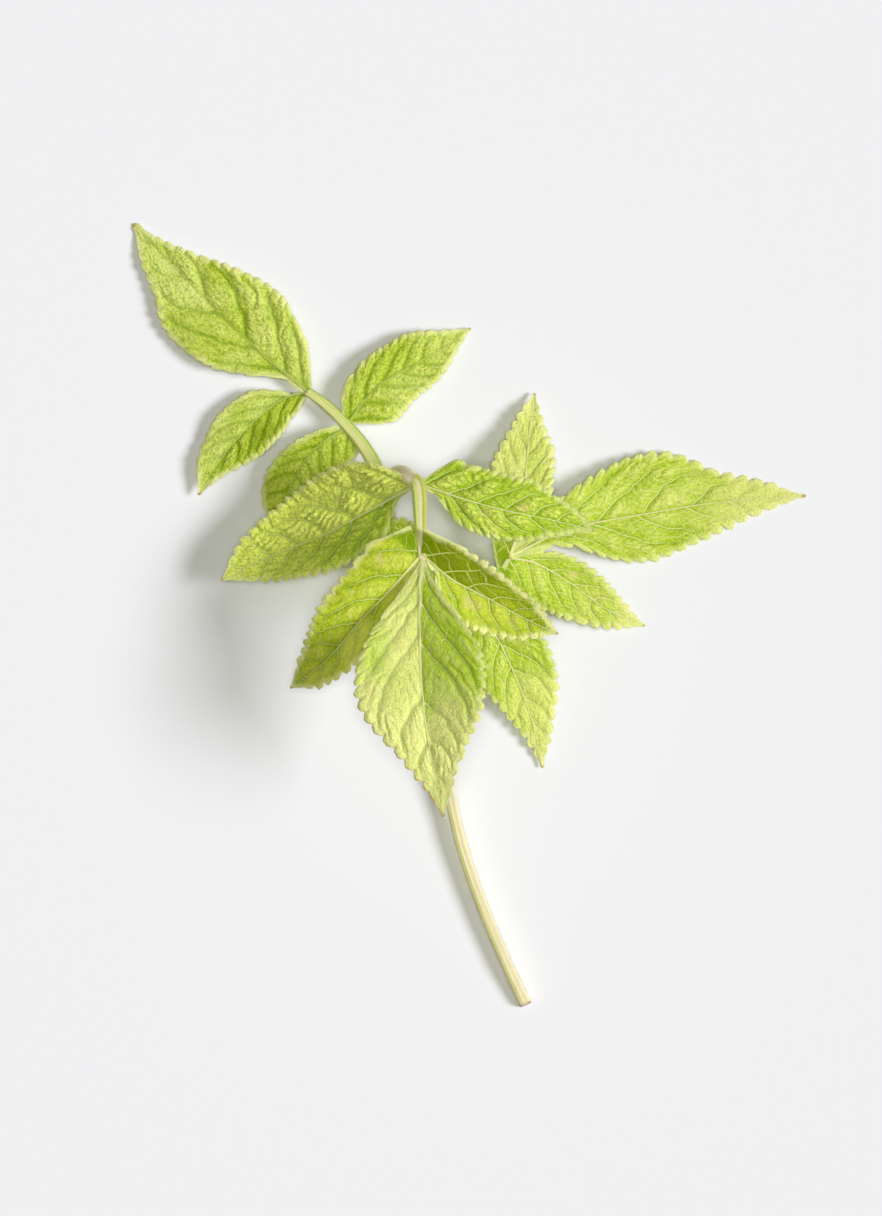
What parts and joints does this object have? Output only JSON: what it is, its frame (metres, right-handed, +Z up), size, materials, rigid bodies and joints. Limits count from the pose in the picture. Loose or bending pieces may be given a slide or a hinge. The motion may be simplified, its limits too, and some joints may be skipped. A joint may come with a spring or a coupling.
{
  "type": "sage sprig",
  "caption": "Cut sage sprig lying on a surface: a fuzzy stem with compound leaves of toothed, veined leaflets, one leaf arching over the others.",
  "frame": {"origin": "on the surface that the sprig lies on, under the middle of its outline", "axes": "+Z up off the surface; +Y along the sprig, from the stem's cut end at -Y to the leaves at +Y; +X to the right as seen from above with +Y away"},
  "size_m": [0.1479, 0.1722, 0.0466],
  "materials": {
    "leaf": "fresh lime-green leaf, puckered between its veins, with short soft hairs and a faint sheen",
    "stem": "pale yellow-green herb stem with short soft hairs",
    "stalk": "pale green leaf stalk with a pinkish-beige ridge and short soft hairs"
  },
  "bodies": {
    "root": {"main_stem": "stem", "left_leaf_stalk": "stalk", "front_leaf_stalk": "stalk", "right_leaf_stalk": "stalk", "front_leaf_end": "leaf", "front_leaf_side_left": "leaf", "front_leaf_side_right": "leaf", "front_leaf_pair_left": "leaf", "front_leaf_pair_right": "leaf", "left_leaf_end": "leaf", "left_leaf_side": "leaf", "left_leaf_pair_upper": "leaf", "left_leaf_pair_lower": "leaf", "right_leaf_end": "leaf", "right_leaf_side_lower": "leaf", "right_leaf_side_upper": "leaf", "right_leaf_pair_lower": "leaf", "right_leaf_pair_upper": "leaf"}
  },
  "joints": []
}
